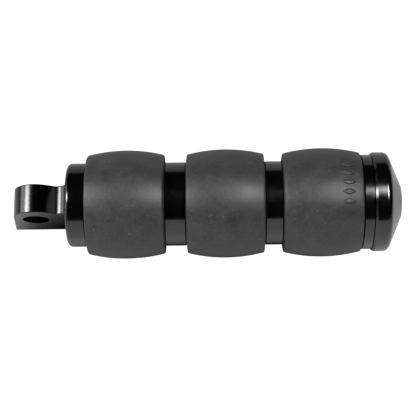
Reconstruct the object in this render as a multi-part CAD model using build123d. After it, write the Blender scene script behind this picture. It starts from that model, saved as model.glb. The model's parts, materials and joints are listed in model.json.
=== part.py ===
from build123d import *
import math
import os

# A motorcycle foot peg for a clevis bracket, in millimetres.
# The origin is the middle of the pivot bore. +X runs along the peg, away from the motorcycle,
# +Y along the pivot bore and +Z up, as the peg is ridden on.

# ---- driving dimensions ----

# pivot tang, the blade that goes between the bracket's two ears
bore_radius = 4.85
tang_thickness = 10.8
head_radius = 8.2
head_centre_x = 0.3
head_centre_z = 1.9
stop_side_z = -14.4
stop_corner_x = -9.7
stop_corner_radius = 0.7
neck_height = 7.0
neck_start_x = 7.9
neck_root_radius = 5.0
tang_edge_radius = 0.45
tang_root_radius = 1.6

# round flange at the root of the tang, and its spigot
flange_start_x = 12.0
flange_thickness = 7.1
flange_radius = 15.4
flange_rim_rounding = 1.6
flange_edge = 0.35
spigot_radius = 6.9
spigot_length = 8.0
thread_run_out = 1.5

# stack of rubber barrels and bands on the core
barrel_length = 28.8
barrel_crown_radius = 20.05
barrel_rim_radius = 18.25
barrel_rim_inset = 0.3
barrel_rim_rounding = 0.6
inner_band_width = 7.7
outer_band_width = 6.4
band_radius = 15.4
band_edge = 0.35
core_radius = 12.5
core_bore_radius = 7.0
core_edge = 0.3
sleeve_wall = 1.5

# end ring, seal and cap
ring_radius = 17.4
ring_width = 3.8
ring_edge = 0.3
seal_section = 1.5
seal_centre_radius = 14.6
cap_radius = 18.25
cap_lead_in_length = 0.8
cap_lead_in_depth = 0.5
cap_rim_width = 5.7
cap_length = 10.95
cap_nose_radius = 6.1
cap_rim_rounding = 2.2
cap_nose_rounding = 2.0
cap_spigot_length = 14.0

# clamp screw, its lock washer and the indexing pin
screw_radius = 4.0
screw_length = 20.0
screw_head_radius = 6.5
screw_head_height = 8.0
screw_head_edge = 0.5
hex_across_flats = 6.0
hex_depth = 4.0
web_thickness = 6.0
washer_radius = 6.35
washer_thickness = 2.2
washer_gap_width = 1.0
washer_gap_angle = 12.0
pin_radius = 1.5
pin_length = 8.0
pin_offset = 9.75
pin_edge = 0.2

# fits
slip = 0.05
screw_clearance = 0.25
pin_end_gap = 0.2
core_end_gap = 0.2
washer_clearance = 0.1
seal_squeeze = 0.01
overlap = 1.0  # how far cutting tools and buried roots run on past a face
touch = 0.001  # closer than this counts as touching

# ---- places along the peg ----

barrel_names = ["inner", "middle", "outer"]
flange_end_x = flange_start_x + flange_thickness
band_widths = [inner_band_width, outer_band_width]
barrel_starts = [flange_end_x]
for band_width in band_widths:
    barrel_starts.append(barrel_starts[-1] + barrel_length + band_width)
ring_start_x = barrel_starts[-1] + barrel_length
cap_start_x = ring_start_x + ring_width
web_start_x = flange_end_x + spigot_length + core_end_gap
head_seat_x = web_start_x + web_thickness + washer_thickness


# ---- helpers ----

def turned(outline):
    """A closed outline of (x, radius) points, turned about the peg's axis."""
    return revolve(make_face(Polyline(*outline, close=True)), Axis.X)


def tube(start, end, inner, outer, edge=0.0):
    """A plain tube on the peg's axis, with its outer corners broken."""
    outline = [
        (start, inner),
        (start, outer - edge),
        (start + edge, outer),
        (end - edge, outer),
        (end, outer - edge),
        (end, inner),
    ]
    if edge == 0.0:
        outline = [(start, inner), (start, outer), (end, outer), (end, inner)]
    return turned(outline)


def rod(start, end, radius):
    """A solid rod on the peg's axis."""
    return turned([(start, 0), (start, radius), (end, radius), (end, 0)])


def tangent_point(px, pz, side):
    """Where the line from (px, pz) touches the head's arc; side is +1 or -1."""
    dx = px - head_centre_x
    dz = pz - head_centre_z
    turn = math.atan2(dz, dx) + side * math.acos(head_radius / math.hypot(dx, dz))
    x = head_centre_x + head_radius * math.cos(turn)
    z = head_centre_z + head_radius * math.sin(turn)
    return (x, z)


# ---- pieces ----

def tang_outline():
    """The blade's side view, with its round head, stop side, neck and rising root."""
    buried_x = flange_start_x + flange_thickness / 2
    root_sine = (flange_start_x - neck_start_x) / neck_root_radius
    root_rise = neck_root_radius * (1 - math.sqrt(1 - root_sine**2))
    half_sine = math.sin(math.asin(root_sine) / 2)
    half_rise = neck_root_radius * (1 - math.sqrt(1 - half_sine**2))
    stop_corner = (stop_corner_x, stop_side_z)
    left = tangent_point(stop_corner_x, stop_side_z, -1)
    right = tangent_point(neck_start_x, neck_height, 1)
    crown = (head_centre_x, head_centre_z + head_radius)
    neck = (neck_start_x, neck_height)
    root_middle = (neck_start_x + neck_root_radius * half_sine, neck_height + half_rise)
    root_end = (flange_start_x, neck_height + root_rise)
    return Curve() + [
        Line(stop_corner, left),
        ThreePointArc(left, crown, right),
        Line(right, neck),
        ThreePointArc(neck, root_middle, root_end),
        Line(root_end, (buried_x, root_end[1])),
        Line((buried_x, root_end[1]), (buried_x, stop_side_z)),
        Line((buried_x, stop_side_z), stop_corner),
    ]


def is_root_edge(edge):
    """True for the edges where the blade meets the flange's face."""
    box = edge.bounding_box()
    middle = edge.center()
    on_face = abs(box.min.X - flange_start_x) < touch and box.size.X < touch
    return on_face and abs(middle.Y) < tang_thickness and stop_side_z + touch < middle.Z < flange_radius


def is_cheek_edge(edge):
    """True for the blade's long edges, where its cheeks meet its rim."""
    box = edge.bounding_box()
    on_cheek = abs(abs(edge.center().Y) - tang_thickness / 2) < touch and box.size.Y < touch
    return on_cheek and box.size.X > touch and box.max.X < flange_start_x - touch


def make_tang_blade():
    """Blade with rounded edges, and a fillet at its root that stays inside the flange's radius."""
    blade = extrude(Plane.XZ * make_face(tang_outline()), tang_thickness / 2, both=True)
    corner = blade.edges().filter_by(Axis.Y).sort_by(Axis.X)[0]
    blade = fillet(corner, stop_corner_radius)
    reach = 4 * flange_radius
    face_plate = Pos(flange_start_x, 0, stop_side_z) * Box(
        flange_thickness / 2, reach, reach, align=(Align.MIN, Align.CENTER, Align.MIN))
    blade = fillet([e for e in (blade + face_plate).edges() if is_root_edge(e)], tang_root_radius)
    blade = fillet([e for e in blade.edges() if is_cheek_edge(e)], tang_edge_radius)
    flat_radius = flange_radius - flange_rim_rounding
    blade = blade - tube(neck_start_x, flange_start_x, flange_radius, reach)
    return blade - tube(flange_start_x, flange_end_x, flat_radius, reach)


def make_flange():
    """Round flange, well rounded on the tang's side, with the blade's foot buried in it."""
    flange = rod(flange_start_x, flange_end_x, flange_radius)
    inboard_rim = flange.edges().filter_by(GeomType.CIRCLE).sort_by(Axis.X)[0]
    flange = fillet(inboard_rim, flange_rim_rounding)
    outboard_rim = flange.edges().filter_by(GeomType.CIRCLE).sort_by(Axis.X)[-1]
    flange = chamfer(outboard_rim, flange_edge)
    foot = Pos(flange_start_x, 0, stop_side_z) * Box(
        flange_thickness / 2, tang_thickness, neck_height - stop_side_z,
        align=(Align.MIN, Align.CENTER, Align.MIN))
    return flange + foot


def make_mount_tang():
    """Cast blade with the pivot bore, one with its round flange and tapped spigot."""
    spigot = rod(flange_end_x - overlap, flange_end_x + spigot_length, spigot_radius)
    bore = Rot(90, 0, 0) * Cylinder(bore_radius, tang_thickness * 2)
    thread_end = head_seat_x - screw_length - thread_run_out
    thread = rod(thread_end, flange_end_x + spigot_length + overlap, screw_radius)
    pin_hole_end = flange_end_x - pin_length / 2 - pin_end_gap
    pin_hole = Pos(0, 0, pin_offset) * rod(pin_hole_end, flange_end_x + overlap, pin_radius)
    return make_tang_blade() + make_flange() + spigot - bore - thread - pin_hole


def make_peg_core():
    """Bored bar that carries the barrels, with a web that the clamp screw pulls on."""
    core_end = cap_start_x - core_end_gap
    core = tube(flange_end_x, core_end, 0.0, core_radius - slip, core_edge)
    pilot = rod(flange_end_x - overlap, web_start_x, spigot_radius + slip)
    bore = rod(web_start_x + web_thickness, core_end + overlap, core_bore_radius)
    screw_hole = rod(web_start_x - overlap, head_seat_x, screw_radius + screw_clearance)
    pin_hole_end = flange_end_x + pin_length / 2 + pin_end_gap
    pin_hole = Pos(0, 0, pin_offset) * rod(flange_end_x - overlap, pin_hole_end, pin_radius)
    return core - pilot - bore - screw_hole - pin_hole


def make_barrel(start):
    """Rubber sleeve, crowned along its length, bonded to its metal sleeve."""
    bond = core_radius + sleeve_wall
    middle = start + barrel_length / 2
    end = start + barrel_length
    rim_start = (start + barrel_rim_inset, barrel_rim_radius)
    rim_end = (end - barrel_rim_inset, barrel_rim_radius)
    outline = Curve() + [
        Line((start, bond), (start, band_radius)),
        Line((start, band_radius), rim_start),
        ThreePointArc(rim_start, (middle, barrel_crown_radius), rim_end),
        Line(rim_end, (end, band_radius)),
        Line((end, band_radius), (end, bond)),
        Line((end, bond), (start, bond)),
    ]
    barrel = revolve(make_face(outline), Axis.X)
    rims = [e for e in barrel.edges().filter_by(GeomType.CIRCLE)
            if abs(e.radius - barrel_rim_radius) < touch]
    return fillet(rims, barrel_rim_rounding)


def make_end_ring():
    """Ring that closes the stack, with a face groove for the seal."""
    ring = tube(ring_start_x, cap_start_x, core_radius, ring_radius, ring_edge)
    half = seal_section / 2 + slip
    groove = tube(cap_start_x - seal_section, cap_start_x + overlap,
                  seal_centre_radius - half, seal_centre_radius + half)
    return ring - groove


def make_cap_seal():
    """O-ring between the end ring and the cap."""
    circle = Pos(cap_start_x - seal_section / 2, seal_centre_radius) * Circle(seal_section / 2 - seal_squeeze)
    return revolve(circle, Axis.X)


def make_end_cap():
    """Turned cap with a low cone on its face and a screwed spigot into the core."""
    cap_end = cap_start_x + cap_length
    spigot_start = cap_start_x - cap_spigot_length
    cap = turned([
        (spigot_start, 0),
        (spigot_start, core_bore_radius - slip),
        (cap_start_x, core_bore_radius - slip),
        (cap_start_x, cap_radius - cap_lead_in_depth),
        (cap_start_x + cap_lead_in_length, cap_radius),
        (cap_start_x + cap_rim_width, cap_radius),
        (cap_end, cap_nose_radius),
        (cap_end, 0),
    ])
    circles = cap.edges().filter_by(GeomType.CIRCLE)
    nose = [e for e in circles if abs(e.center().X - cap_end) < touch]
    cap = fillet(nose, cap_nose_rounding)
    circles = cap.edges().filter_by(GeomType.CIRCLE)
    rim = [e for e in circles if abs(e.center().X - cap_start_x - cap_rim_width) < touch]
    return fillet(rim, cap_rim_rounding)


def make_clamp_screw():
    """Socket head screw that pulls the core against the tang's flange."""
    shank = rod(head_seat_x - screw_length, head_seat_x, screw_radius - slip)
    head_end = head_seat_x + screw_head_height
    head = tube(head_seat_x, head_end, 0.0, screw_head_radius, screw_head_edge)
    socket_start = head_end - hex_depth
    hexagon = Plane.YZ.offset(socket_start) * RegularPolygon(hex_across_flats / 2, 6, major_radius=False)
    return shank + head - extrude(hexagon, hex_depth + overlap)


def make_lock_washer():
    """Split spring washer under the screw's head."""
    start = head_seat_x - washer_thickness
    ring = tube(start, head_seat_x, screw_radius + washer_clearance, washer_radius)
    middle = (screw_radius + washer_radius) / 2
    cutter = Box(3 * washer_thickness, washer_gap_width, 2 * washer_thickness)
    return ring - Pos(start, 0, middle) * Rot(washer_gap_angle, 0, 0) * cutter


def make_indexing_pin():
    """Dowel that stops the core turning on the tang."""
    pin = tube(flange_end_x - pin_length / 2, flange_end_x + pin_length / 2,
               0.0, pin_radius - slip / 2, pin_edge)
    return Pos(0, 0, pin_offset) * pin


parts = {
    "mount_tang": make_mount_tang(),
    "peg_core": make_peg_core(),
    "end_ring": make_end_ring(),
    "cap_seal": make_cap_seal(),
    "end_cap": make_end_cap(),
    "clamp_screw": make_clamp_screw(),
    "lock_washer": make_lock_washer(),
    "indexing_pin": make_indexing_pin(),
}
for name, start in zip(barrel_names, barrel_starts):
    parts["barrel_sleeve_" + name] = tube(start, start + barrel_length, core_radius,
                                           core_radius + sleeve_wall)
    parts["rubber_barrel_" + name] = make_barrel(start)
for name, start, width in zip(["inner", "outer"], barrel_starts, band_widths):
    band_start = start + barrel_length
    parts["spacer_band_" + name] = tube(band_start, band_start + width, core_radius,
                                         band_radius, band_edge)

os.makedirs("parts", exist_ok=True)
for name, solid in parts.items():
    export_step(solid, "parts/" + name + ".step")
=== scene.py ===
import bmesh
import bpy
import json
import math
from mathutils import Matrix, Vector, noise


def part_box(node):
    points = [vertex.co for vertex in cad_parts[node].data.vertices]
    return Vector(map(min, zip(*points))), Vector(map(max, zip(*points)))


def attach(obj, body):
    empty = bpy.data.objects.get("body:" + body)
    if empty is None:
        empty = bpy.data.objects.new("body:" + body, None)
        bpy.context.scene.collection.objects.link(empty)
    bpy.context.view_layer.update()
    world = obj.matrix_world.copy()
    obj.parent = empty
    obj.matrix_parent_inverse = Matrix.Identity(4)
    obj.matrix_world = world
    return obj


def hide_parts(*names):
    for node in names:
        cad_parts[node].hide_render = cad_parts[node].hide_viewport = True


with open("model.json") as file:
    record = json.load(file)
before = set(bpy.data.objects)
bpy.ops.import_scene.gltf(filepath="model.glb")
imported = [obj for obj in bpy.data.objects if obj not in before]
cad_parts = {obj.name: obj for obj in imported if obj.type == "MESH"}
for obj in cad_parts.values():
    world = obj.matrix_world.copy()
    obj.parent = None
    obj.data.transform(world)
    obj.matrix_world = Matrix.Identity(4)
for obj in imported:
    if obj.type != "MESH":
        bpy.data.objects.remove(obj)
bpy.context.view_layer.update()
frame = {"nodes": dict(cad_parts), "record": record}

MM = 0.001
NODES = frame["nodes"]
FLOOR_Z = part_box("rubber_barrel_middle")[0].z  # the barrels' crowns rest on the floor


# ---------------------------------------------------------------- camera

CAMERA_ELEVATION = math.radians(74.0)
CAMERA_ROLL = math.radians(0.68)
CAMERA_DISTANCE = 444 * MM
FRAME_WIDTH = 153.9 * MM            # width of the view at the peg's axis
AIM_X = 63.5 * MM
AIM_BELOW = 1.6 * MM                # the axis lies this far above the view's middle
CAMERA_SIDE = 4.4 * MM              # the camera stands this far outboard of its aim
SENSOR = 36.0
CLIP_NEAR = 10 * MM
CLIP_FAR = 20000 * MM


def make_camera():
    """The camera, looking steeply down on the peg's near side."""
    back = Vector((0, -math.cos(CAMERA_ELEVATION), math.sin(CAMERA_ELEVATION)))
    up = Vector((0, math.sin(CAMERA_ELEVATION), math.cos(CAMERA_ELEVATION)))
    target = Vector((AIM_X, 0, 0)) - up * AIM_BELOW
    place = target + back * CAMERA_DISTANCE + Vector((CAMERA_SIDE, 0, 0))
    to_camera = (place - target).normalized()
    right = up.cross(to_camera).normalized()
    true_up = to_camera.cross(right)
    turned_right = right * math.cos(CAMERA_ROLL) - true_up * math.sin(CAMERA_ROLL)
    turned_up = right * math.sin(CAMERA_ROLL) + true_up * math.cos(CAMERA_ROLL)
    data = bpy.data.cameras.new("camera")
    data.sensor_width = SENSOR
    data.lens = SENSOR * CAMERA_DISTANCE / FRAME_WIDTH
    data.clip_start = CLIP_NEAR
    data.clip_end = CLIP_FAR
    camera = bpy.data.objects.new("camera", data)
    bpy.context.scene.collection.objects.link(camera)
    rotation = Matrix((turned_right, turned_up, to_camera)).transposed()
    camera.matrix_world = Matrix.Translation(place) @ rotation.to_4x4()
    bpy.context.scene.camera = camera


# ---------------------------------------------------------------- node helpers

# A Mix node keeps a set of sockets for each kind of value.
MIX_COLOURS = (6, 7)
MIX_COLOUR_RESULT = 2
MIX_NUMBERS = (2, 3)
MIX_NUMBER_RESULT = 0

TURNING_STRETCH = 0.02              # a turning mark's width along the peg, over its length round it


class Nodes:
    """Short names for adding nodes to one node tree."""

    def __init__(self, tree):
        self.tree = tree

    def add(self, kind, **settings):
        """A new node of this kind, with these settings."""
        node = self.tree.nodes.new(kind)
        for name, value in settings.items():
            setattr(node, name, value)
        return node

    def put(self, value, socket):
        """A value into a socket: a link where it is a socket, else a constant."""
        if isinstance(value, bpy.types.NodeSocket):
            self.tree.links.new(value, socket)
        else:
            socket.default_value = value

    def maths(self, operation, first, second):
        """The result of a sum, product or the like of two values."""
        node = self.add("ShaderNodeMath", operation=operation)
        self.put(first, node.inputs[0])
        self.put(second, node.inputs[1])
        return node.outputs[0]

    def ranged(self, value, low, high, to_low=0.0, to_high=1.0):
        """A smooth step of a value, from one range to another."""
        node = self.add("ShaderNodeMapRange", interpolation_type="SMOOTHSTEP")
        self.put(value, node.inputs["Value"])
        self.put(low, node.inputs["From Min"])
        self.put(high, node.inputs["From Max"])
        self.put(to_low, node.inputs["To Min"])
        self.put(to_high, node.inputs["To Max"])
        return node.outputs["Result"]

    def mixed(self, factor, first, second):
        """A mix of two colours, each a socket or three plain numbers."""
        node = self.add("ShaderNodeMix", data_type="RGBA")
        self.put(factor, node.inputs["Factor"])
        for colour, index in zip((first, second), MIX_COLOURS):
            self.put((*colour, 1.0) if isinstance(colour, tuple) else colour, node.inputs[index])
        return node.outputs[MIX_COLOUR_RESULT]

    def either(self, factor, first, second):
        """The first number where the factor is 0, the second where it is 1."""
        node = self.add("ShaderNodeMix", data_type="FLOAT")
        self.put(factor, node.inputs["Factor"])
        for number, index in zip((first, second), MIX_NUMBERS):
            self.put(number, node.inputs[index])
        return node.outputs[MIX_NUMBER_RESULT]

    def noise(self, vector, grain, detail=3.0, roughness=0.55):
        """Noise whose spots are about this grain across, in metres."""
        node = self.add("ShaderNodeTexNoise")
        self.put(vector, node.inputs["Vector"])
        self.put(1.0 / grain, node.inputs["Scale"])
        self.put(detail, node.inputs["Detail"])
        self.put(roughness, node.inputs["Roughness"])
        return node.outputs["Fac"]

    def turning(self, vector, grain):
        """Noise drawn out round the peg's axis, as a lathe tool leaves it."""
        node = self.add("ShaderNodeMapping")
        self.put(vector, node.inputs["Vector"])
        self.put((1.0, TURNING_STRETCH, TURNING_STRETCH), node.inputs["Scale"])
        return self.noise(node.outputs["Vector"], grain)

    def bumped(self, height, depth, under=None):
        """A bump whose height, from 0 to 1, stands for this depth in metres."""
        node = self.add("ShaderNodeBump")
        self.put(1.0, node.inputs["Strength"])
        self.put(depth, node.inputs["Distance"])
        self.put(height, node.inputs["Height"])
        if under is not None:
            self.put(under, node.inputs["Normal"])
        return node.outputs["Normal"]


def new_material(name, **constants):
    """A material with a Principled shader and its object coordinates; constants name sockets."""
    material = bpy.data.materials.new(name)
    material.use_nodes = True
    nodes = Nodes(material.node_tree)
    shader = material.node_tree.nodes["Principled BSDF"]
    for socket, value in constants.items():
        shader.inputs[socket.replace("_", " ")].default_value = value
    place = nodes.add("ShaderNodeTexCoord").outputs["Object"]
    return material, nodes, shader, place


# ---------------------------------------------------------------- materials

POLYMER_IOR = 1.5                   # of the coat, the rubber and the nitrile alike
NOISE_SPREAD = (0.3, 0.7)           # where nearly all of a noise's values lie

COAT_DEEP = (0.0002, 0.0002, 0.0002)
COAT_CLOUDED = (0.0011, 0.0011, 0.0012)
CASTING_ROUGHNESS = 0.17
TURNED_ROUGHNESS = 0.14
CAP_ROUGHNESS = 0.13
WIPE_SPREAD = (0.3, 0.75)
WIPE_SHINIER = 0.85                 # times the coat's roughness, where it is wiped clean
WIPE_DULLER = 1.25                  # and where it is not

RUBBER_DARK = (0.013, 0.013, 0.0135)
RUBBER_DUSTY = (0.028, 0.028, 0.0285)
RUBBER_SPECK = (0.06, 0.06, 0.06)
RUBBER_SPECULAR = 0.27
RUBBER_ROUGHNESS = (0.40, 0.52)     # where it is dark, and where it is dusty
RUBBER_MOTTLE = (0.3, 0.72)         # the noise's range from dark to dusty
SPECK_RANGE = (0.70, 0.78)          # only the noise's peaks are specks

SEAL_DARK = (0.010, 0.010, 0.010)
SEAL_BLOOM = (0.022, 0.022, 0.023)
SEAL_ROUGHNESS = (0.35, 0.5)

METAL_SHINIER = 0.8                 # times the metal's roughness, from line to line
METAL_DULLER = 1.3


def gloss_black(name, roughness):
    """Black gloss coat; returns what a finish adds its own bump to."""
    material, nodes, shader, place = new_material(name, IOR=POLYMER_IOR)
    cloud = nodes.noise(place, grain=9 * MM, detail=4.0)
    nodes.put(nodes.mixed(cloud, COAT_DEEP, COAT_CLOUDED), shader.inputs["Base Color"])
    wipe = nodes.noise(place, grain=2.5 * MM, detail=5.0, roughness=0.65)
    wiped = nodes.ranged(wipe, *WIPE_SPREAD, roughness * WIPE_SHINIER, roughness * WIPE_DULLER)
    nodes.put(wiped, shader.inputs["Roughness"])
    return material, nodes, shader, place


def casting_material():
    """Gloss black over a casting: a soft orange peel."""
    material, nodes, shader, place = gloss_black("gloss_black_casting", CASTING_ROUGHNESS)
    peel = nodes.bumped(nodes.noise(place, grain=2.2 * MM, detail=2.0), depth=0.012 * MM)
    fine = nodes.bumped(nodes.noise(place, grain=0.7 * MM, detail=2.0), depth=0.0015 * MM, under=peel)
    nodes.put(fine, shader.inputs["Normal"])
    return material


def turned_material(name, roughness):
    """Gloss black over turning marks that run round the peg."""
    material, nodes, shader, place = gloss_black(name, roughness)
    marks = nodes.bumped(nodes.turning(place, grain=0.35 * MM), depth=0.0009 * MM)
    peel = nodes.bumped(nodes.noise(place, grain=3.5 * MM, detail=1.0), depth=0.004 * MM, under=marks)
    nodes.put(peel, shader.inputs["Normal"])
    return material


def rubber_material():
    """Satin moulded rubber: mottled grey, dusty in its pores."""
    material, nodes, shader, place = new_material("tread_rubber", IOR=POLYMER_IOR)
    shader.inputs["Specular IOR Level"].default_value = RUBBER_SPECULAR
    mottle = nodes.noise(place, grain=5 * MM, detail=4.0, roughness=0.65)
    grain = nodes.noise(place, grain=1.1 * MM, detail=4.0, roughness=0.7)
    both = nodes.maths("ADD", nodes.maths("MULTIPLY", mottle, 0.5), nodes.maths("MULTIPLY", grain, 0.5))
    rubber = nodes.mixed(nodes.ranged(both, *RUBBER_MOTTLE), RUBBER_DARK, RUBBER_DUSTY)
    speck = nodes.ranged(nodes.noise(place, grain=0.8 * MM, detail=1.0), *SPECK_RANGE)
    nodes.put(nodes.mixed(speck, rubber, RUBBER_SPECK), shader.inputs["Base Color"])
    nodes.put(nodes.ranged(both, *RUBBER_MOTTLE, *RUBBER_ROUGHNESS), shader.inputs["Roughness"])
    pits = nodes.bumped(grain, depth=0.035 * MM)
    pores = nodes.bumped(nodes.noise(place, grain=0.35 * MM, detail=2.0), depth=0.006 * MM, under=pits)
    nodes.put(pores, shader.inputs["Normal"])
    return material


def seal_material():
    """Smooth black nitrile with a faint bloom."""
    material, nodes, shader, place = new_material("nitrile_seal", IOR=POLYMER_IOR)
    bloom = nodes.noise(place, grain=1.5 * MM, detail=4.0)
    nodes.put(nodes.mixed(bloom, SEAL_DARK, SEAL_BLOOM), shader.inputs["Base Color"])
    nodes.put(nodes.ranged(bloom, *NOISE_SPREAD, *SEAL_ROUGHNESS), shader.inputs["Roughness"])
    nodes.put(nodes.bumped(bloom, depth=0.01 * MM), shader.inputs["Normal"])
    return material


def metal_material(name, dark, light, roughness, mark_depth):
    """Bare metal, stained from dark to light, with turning marks of this depth in metres."""
    material, nodes, shader, place = new_material(name, Metallic=1.0)
    stain = nodes.noise(place, grain=5 * MM, detail=4.0)
    nodes.put(nodes.mixed(stain, dark, light), shader.inputs["Base Color"])
    lines = nodes.turning(place, grain=0.3 * MM)
    worn = nodes.ranged(lines, *NOISE_SPREAD, roughness * METAL_SHINIER, roughness * METAL_DULLER)
    nodes.put(worn, shader.inputs["Roughness"])
    marks = nodes.bumped(lines, mark_depth)
    nodes.put(nodes.bumped(stain, mark_depth, under=marks), shader.inputs["Normal"])
    return material


def make_materials():
    """One material for each of the record's slots."""
    return {
        "gloss_black_casting": casting_material(),
        "gloss_black_turned": turned_material("gloss_black_turned", TURNED_ROUGHNESS),
        "gloss_black_cap": turned_material("gloss_black_cap", CAP_ROUGHNESS),
        "tread_rubber": rubber_material(),
        "plain_aluminium": metal_material(
            "plain_aluminium", dark=(0.50, 0.51, 0.52), light=(0.66, 0.67, 0.68),
            roughness=0.35, mark_depth=0.004 * MM),
        "black_oxide_steel": metal_material(
            "black_oxide_steel", dark=(0.05, 0.05, 0.055), light=(0.10, 0.10, 0.105),
            roughness=0.42, mark_depth=0.002 * MM),
        "zinc_steel": metal_material(
            "zinc_steel", dark=(0.52, 0.53, 0.55), light=(0.66, 0.67, 0.69),
            roughness=0.28, mark_depth=0.002 * MM),
        "nitrile_seal": seal_material(),
    }


def dress_nodes(materials):
    """Every CAD node gets the material of its slot."""
    for row in frame["record"]["subparts"]:
        slots = NODES[row["node"]].data.materials
        slots.clear()
        slots.append(materials[row["material_slot"]])


# ---------------------------------------------------------------- rubber barrels

BARRELS = ("inner", "middle", "outer")
BARREL_STEPS = 224                  # faces round a barrel
BARREL_BORE = 14.02 * MM            # a hair over the metal sleeve's radius
RIM_RADIUS = 18.25 * MM             # where the crown's arc ends
RIM_FOOT_RADIUS = 15.4 * MM         # where the rim's flank meets the band
RIM_INSET = 0.3 * MM
RIM_ROUNDING = 0.7 * MM
RIM_POINTS = 5
CROWN_POINTS = 36
CROWN_START = 3                     # the point of the crown that the rim's rounding leads to
MOULD_RIPPLE = 0.035 * MM
RIPPLE_GRAIN = 9 * MM


def rounded_corner(before, corner, after, radius, points):
    """Points of the arc that rounds a corner between two straight lines."""
    into = (before - corner).normalized()
    out = (after - corner).normalized()
    half = into.angle(out) / 2
    centre = corner + (into + out).normalized() * (radius / math.sin(half))
    reach = radius / math.tan(half)
    first = (corner + into * reach - centre).normalized()
    last = (corner + out * reach - centre).normalized()
    return [centre + radius * first.slerp(last, i / (points - 1)) for i in range(points)]


def crown_sweep_radius(length, crown_radius):
    """The radius of the arc that runs along the barrel from rim to rim."""
    half = length / 2 - RIM_INSET
    rise = crown_radius - RIM_RADIUS
    return (half * half + rise * rise) / (2 * rise)


def crown_arc(length, crown_radius):
    """The crown from rim to rim, as (x, radius) points of one arc."""
    sweep_radius = crown_sweep_radius(length, crown_radius)
    sweep = math.asin((length / 2 - RIM_INSET) / sweep_radius)
    points = []
    for i in range(CROWN_POINTS + 1):
        turn = sweep * (2 * i / CROWN_POINTS - 1)
        lift = sweep_radius * (math.cos(turn) - 1)
        points.append(Vector((length / 2 + sweep_radius * math.sin(turn), crown_radius + lift)))
    return points


def crown_radius_at(x, length, crown_radius):
    """The crown's radius at a distance from the barrel's inboard end."""
    sweep_radius = crown_sweep_radius(length, crown_radius)
    return crown_radius - sweep_radius + math.sqrt(sweep_radius**2 - (x - length / 2) ** 2)


def barrel_profile(length, crown_radius):
    """A closed outline of (x, radius) points: bore, flanks, rounded rims and crown."""
    arc = crown_arc(length, crown_radius)
    trimmed = [p for p in arc if RIM_ROUNDING < p.x < length - RIM_ROUNDING]
    foot = Vector((0, RIM_FOOT_RADIUS))
    far_foot = Vector((length, RIM_FOOT_RADIUS))
    rim = rounded_corner(foot, arc[0], arc[CROWN_START], RIM_ROUNDING, RIM_POINTS)
    far_rim = rounded_corner(arc[-1 - CROWN_START], arc[-1], far_foot, RIM_ROUNDING, RIM_POINTS)
    bore = [Vector((x, BARREL_BORE)) for x in (length, length / 2, 0)]
    return bore + [foot] + rim + trimmed + far_rim + [far_foot]


def moulded(point, seed):
    """A point of the crown or a rim, moved a little inwards: moulded rubber is never quite round."""
    if math.hypot(point.y, point.z) < RIM_FOOT_RADIUS:
        return point
    ripple = noise.noise((point + Vector((seed, 0, 0))) / RIPPLE_GRAIN)
    outward = Vector((0, point.y, point.z)).normalized()
    return point + outward * MOULD_RIPPLE * (ripple - 1)


def turn_profile(shape, profile, start_x, seed):
    """The outline turned about the peg's axis into a closed mesh."""
    rings = []
    for step in range(BARREL_STEPS):
        turn = 2 * math.pi * step / BARREL_STEPS
        ring = []
        for p in profile:
            point = Vector((start_x + p.x, p.y * math.sin(turn), p.y * math.cos(turn)))
            ring.append(shape.verts.new(moulded(point, seed)))
        rings.append(ring)
    for step, ring in enumerate(rings):
        following = rings[(step + 1) % BARREL_STEPS]
        for i in range(len(profile)):
            j = (i + 1) % len(profile)
            shape.faces.new((ring[i], ring[j], following[j], following[i]))


def finish_piece(name, shape, material, node):
    """A mesh object from a bmesh, smooth, riding on the peg in place of its CAD node."""
    bmesh.ops.recalc_face_normals(shape, faces=shape.faces)
    mesh = bpy.data.meshes.new(name)
    shape.to_mesh(mesh)
    shape.free()
    mesh.shade_smooth()
    mesh.materials.append(material)
    piece = bpy.data.objects.new(name, mesh)
    bpy.context.scene.collection.objects.link(piece)
    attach(piece, "root")
    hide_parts(node)


# ---------------------------------------------------------------- raised mark

MARK_COUNT = 5
MARK_CENTRE = math.radians(6.0)     # from the top of the peg, towards +Y
MARK_ARC = 19.0 * MM                # the row's length round the barrel
MARK_INSET = 5.7 * MM               # from the barrel's outboard end to the row's middle
MARK_HALF_LENGTH = 2.5 * MM         # of one lozenge, along the barrel
MARK_HALF_WIDTH = 1.35 * MM         # and round it
PAD_HEIGHT = 0.38 * MM
PAD_FOOT = 0.15 * MM                # how deep its foot is sunk
PAD_SLOPE = 0.3                     # of its half width that its sides take
PAD_STEPS = 4
LOZENGE_POINTS = 40
LOZENGE_POWER = 1.35                # 1 is a sharp lozenge, 2 an ellipse


def lozenge_path():
    """Points round one lozenge with rounded corners, as distances along and round the barrel."""
    power = 2 / LOZENGE_POWER
    points = []
    for step in range(LOZENGE_POINTS):
        turn = 2 * math.pi * step / LOZENGE_POINTS
        along = math.copysign(abs(math.cos(turn)) ** power, math.cos(turn))
        aside = math.copysign(abs(math.sin(turn)) ** power, math.sin(turn))
        points.append(Vector((along * MARK_HALF_LENGTH, aside * MARK_HALF_WIDTH)))
    return points


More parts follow.
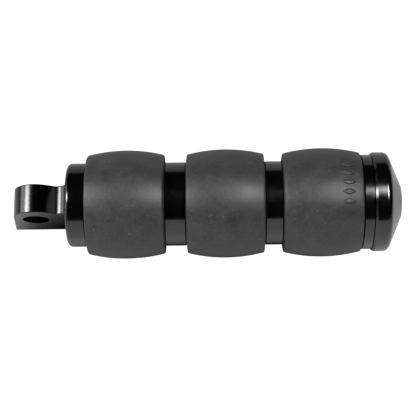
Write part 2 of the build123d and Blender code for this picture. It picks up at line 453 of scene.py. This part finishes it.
def add_lozenge(shape, centre_turn, start_x, length, crown_radius):
    """One solid lozenge, a low rounded pad on the barrel's crown."""
    def raised(along, aside, lift):
        at_x = length - MARK_INSET + along
        turn = centre_turn + aside / crown_radius
        radius = crown_radius_at(at_x, length, crown_radius) - MOULD_RIPPLE + lift
        return shape.verts.new((start_x + at_x, radius * math.sin(turn), radius * math.cos(turn)))

    path = lozenge_path()
    rings = []
    for step in range(PAD_STEPS + 1):
        share = step / PAD_STEPS
        scale = 1 - PAD_SLOPE * share
        lift = PAD_HEIGHT * math.sin(share * math.pi / 2) - PAD_FOOT * (1 - share)
        rings.append([raised(p.x * scale, p.y * scale, lift) for p in path])
    foot = raised(0, 0, -PAD_FOOT)
    top = raised(0, 0, PAD_HEIGHT)
    for i in range(LOZENGE_POINTS):
        j = (i + 1) % LOZENGE_POINTS
        shape.faces.new((foot, rings[0][j], rings[0][i]))
        shape.faces.new((top, rings[-1][i], rings[-1][j]))
        for lower, upper in zip(rings, rings[1:]):
            shape.faces.new((lower[i], lower[j], upper[j], upper[i]))


def add_mark(shape, start_x, length, crown_radius):
    """A plain row of raised lozenges near the barrel's outboard end."""
    pitch = MARK_ARC / crown_radius / MARK_COUNT
    for i in range(MARK_COUNT):
        centre_turn = MARK_CENTRE + (i - (MARK_COUNT - 1) / 2) * pitch
        add_lozenge(shape, centre_turn, start_x, length, crown_radius)


def make_barrels(material):
    """The rubber barrels, the outer one with the raised mark."""
    for seed, name in enumerate(BARRELS):
        low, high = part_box("rubber_barrel_" + name)
        length = high.x - low.x
        shape = bmesh.new()
        turn_profile(shape, barrel_profile(length, high.z), low.x, seed)
        if name == "outer":
            add_mark(shape, low.x, length, high.z)
        finish_piece("barrel_rubber_" + name, shape, material, "rubber_barrel_" + name)


# ---------------------------------------------------------------- studio

FLOOR_SIZE = 4000 * MM
FLOOR_NEAR = 1.3                    # painted light: radiance on the camera's side of the peg
FLOOR_FAR = 0.55                    # and beyond it, dimmer, as painted shade from the peg
FLOOR_SPLIT = 60 * MM               # from the axis to where each of them is reached
FLOOR_SEEN = (0.75, 1.1)            # painted shade: what the camera sees in the peg's shade, and out of it
SHADE_REACH = 100 * MM
SHADE_SAMPLES = 16
SHADE_LIT = (0.48, 1.0)             # how open the floor is where its light begins and is full
SHADE_SEEN = (0.05, 0.35)           # and the same for what the camera sees
LIGHT_REACH = 1000 * MM             # from the peg's middle to each light
MIDDLE = 0.5                        # of a light, whose own coordinates run from 0 to 1
WORLD_STRENGTH = 0.012


def floor_material():
    """Pale floor that glows: its emission is painted light, with painted shade where the peg shades it,
    plain white to the camera but for a painted contact shadow under the peg.
    """
    material = bpy.data.materials.new("floor")
    material.use_nodes = True
    material.node_tree.nodes.clear()
    nodes = Nodes(material.node_tree)
    split = nodes.add("ShaderNodeSeparateXYZ")
    nodes.put(nodes.add("ShaderNodeNewGeometry").outputs["Position"], split.inputs[0])
    shade = nodes.add("ShaderNodeAmbientOcclusion", samples=SHADE_SAMPLES)
    nodes.put(SHADE_REACH, shade.inputs["Distance"])
    # painted light and painted shade: the glow is brighter on the camera's side and darkened where the
    # peg hides the floor
    across = nodes.ranged(split.outputs["Y"], -FLOOR_SPLIT, FLOOR_SPLIT, FLOOR_NEAR, FLOOR_FAR)
    lit = nodes.maths("MULTIPLY", across, nodes.ranged(shade.outputs["AO"], *SHADE_LIT))
    # painted contact shadow that the camera sees under the peg
    painted_shadow_seen = nodes.ranged(shade.outputs["AO"], *SHADE_SEEN, *FLOOR_SEEN)
    camera_ray = nodes.add("ShaderNodeLightPath").outputs["Is Camera Ray"]
    emission = nodes.add("ShaderNodeEmission")
    nodes.put(nodes.either(camera_ray, lit, painted_shadow_seen), emission.inputs["Strength"])
    output = nodes.add("ShaderNodeOutputMaterial")
    nodes.put(emission.outputs[0], output.inputs["Surface"])
    return material


def make_floor():
    """One large plane under the barrels, which is no part of the peg."""
    mesh = bpy.data.meshes.new("floor")
    shape = bmesh.new()
    bmesh.ops.create_grid(shape, x_segments=1, y_segments=1, size=FLOOR_SIZE / 2)
    shape.to_mesh(mesh)
    shape.free()
    mesh.materials.append(floor_material())
    floor = bpy.data.objects.new("floor", mesh)
    bpy.context.scene.collection.objects.link(floor)
    floor.location.z = FLOOR_Z


def area_light(name, direction, width, height, radiance):
    """A rectangular light in this direction from the peg's middle, facing it."""
    data = bpy.data.lights.new(name, "AREA")
    data.shape = "RECTANGLE"
    data.size = width
    data.size_y = height
    data.energy = radiance * math.pi * width * height
    light = bpy.data.objects.new(name, data)
    bpy.context.scene.collection.objects.link(light)
    light.location = Vector((AIM_X, 0, 0)) + direction * LIGHT_REACH
    light.rotation_mode = "QUATERNION"
    light.rotation_quaternion = direction.to_track_quat("Z", "Y")
    return light


def softbox(name, tilt_x, tilt_y, width, height, radiance):
    """A light that fades from its middle to its edge, tilted from overhead by two angles in degrees."""
    direction = Vector((math.tan(math.radians(tilt_x)), math.tan(math.radians(tilt_y)), 1)).normalized()
    light = area_light(name, direction, width, height, radiance)
    light.data.use_nodes = True
    nodes = Nodes(light.data.node_tree)
    centred = nodes.add("ShaderNodeVectorMath", operation="SUBTRACT")
    nodes.put(nodes.add("ShaderNodeNewGeometry").outputs["Parametric"], centred.inputs[0])
    nodes.put((MIDDLE, MIDDLE, 0.0), centred.inputs[1])
    reach = nodes.add("ShaderNodeVectorMath", operation="LENGTH")
    nodes.put(centred.outputs["Vector"], reach.inputs[0])
    emission = light.data.node_tree.nodes["Emission"]
    nodes.put(nodes.ranged(reach.outputs["Value"], MIDDLE, 0.0), emission.inputs["Strength"])
    return light


def card(name, tilt_y, width, height, radiance):
    """An evenly lit light, tilted from overhead towards +Y by an angle in degrees."""
    direction = Vector((0, math.sin(math.radians(tilt_y)), math.cos(math.radians(tilt_y))))
    area_light(name, direction, width, height, radiance)


def keep_off(light, node):
    """The light doesn't reach one CAD node."""
    spared = bpy.data.collections.new(light.name + "_spares")
    spared.objects.link(NODES[node])
    spared.collection_objects[0].light_linking.link_state = "EXCLUDE"
    light.light_linking.receiver_collection = spared


def make_studio():
    """The floor, five lights and a faint even surround."""
    make_floor()
    key = softbox("key", tilt_x=21, tilt_y=7.0, width=0.66, height=0.40, radiance=66)
    keep_off(key, "mount_tang")
    softbox("left", tilt_x=-44, tilt_y=11, width=0.52, height=0.70, radiance=48)
    softbox("far_left", tilt_x=-71, tilt_y=12, width=1.90, height=0.60, radiance=5)
    card("front", tilt_y=-75, width=2.4, height=0.54, radiance=1.3)
    card("rear", tilt_y=87, width=2.4, height=0.12, radiance=0.45)
    world = bpy.data.worlds.new("world")
    bpy.context.scene.world = world
    world.use_nodes = True
    background = world.node_tree.nodes["Background"]
    background.inputs["Color"].default_value = (1, 1, 1, 1)
    background.inputs["Strength"].default_value = WORLD_STRENGTH
    bpy.context.scene.view_settings.view_transform = "Standard"


# ---------------------------------------------------------------- the peg and its studio

make_camera()
make_studio()
peg_materials = make_materials()
dress_nodes(peg_materials)
make_barrels(peg_materials["tread_rubber"])
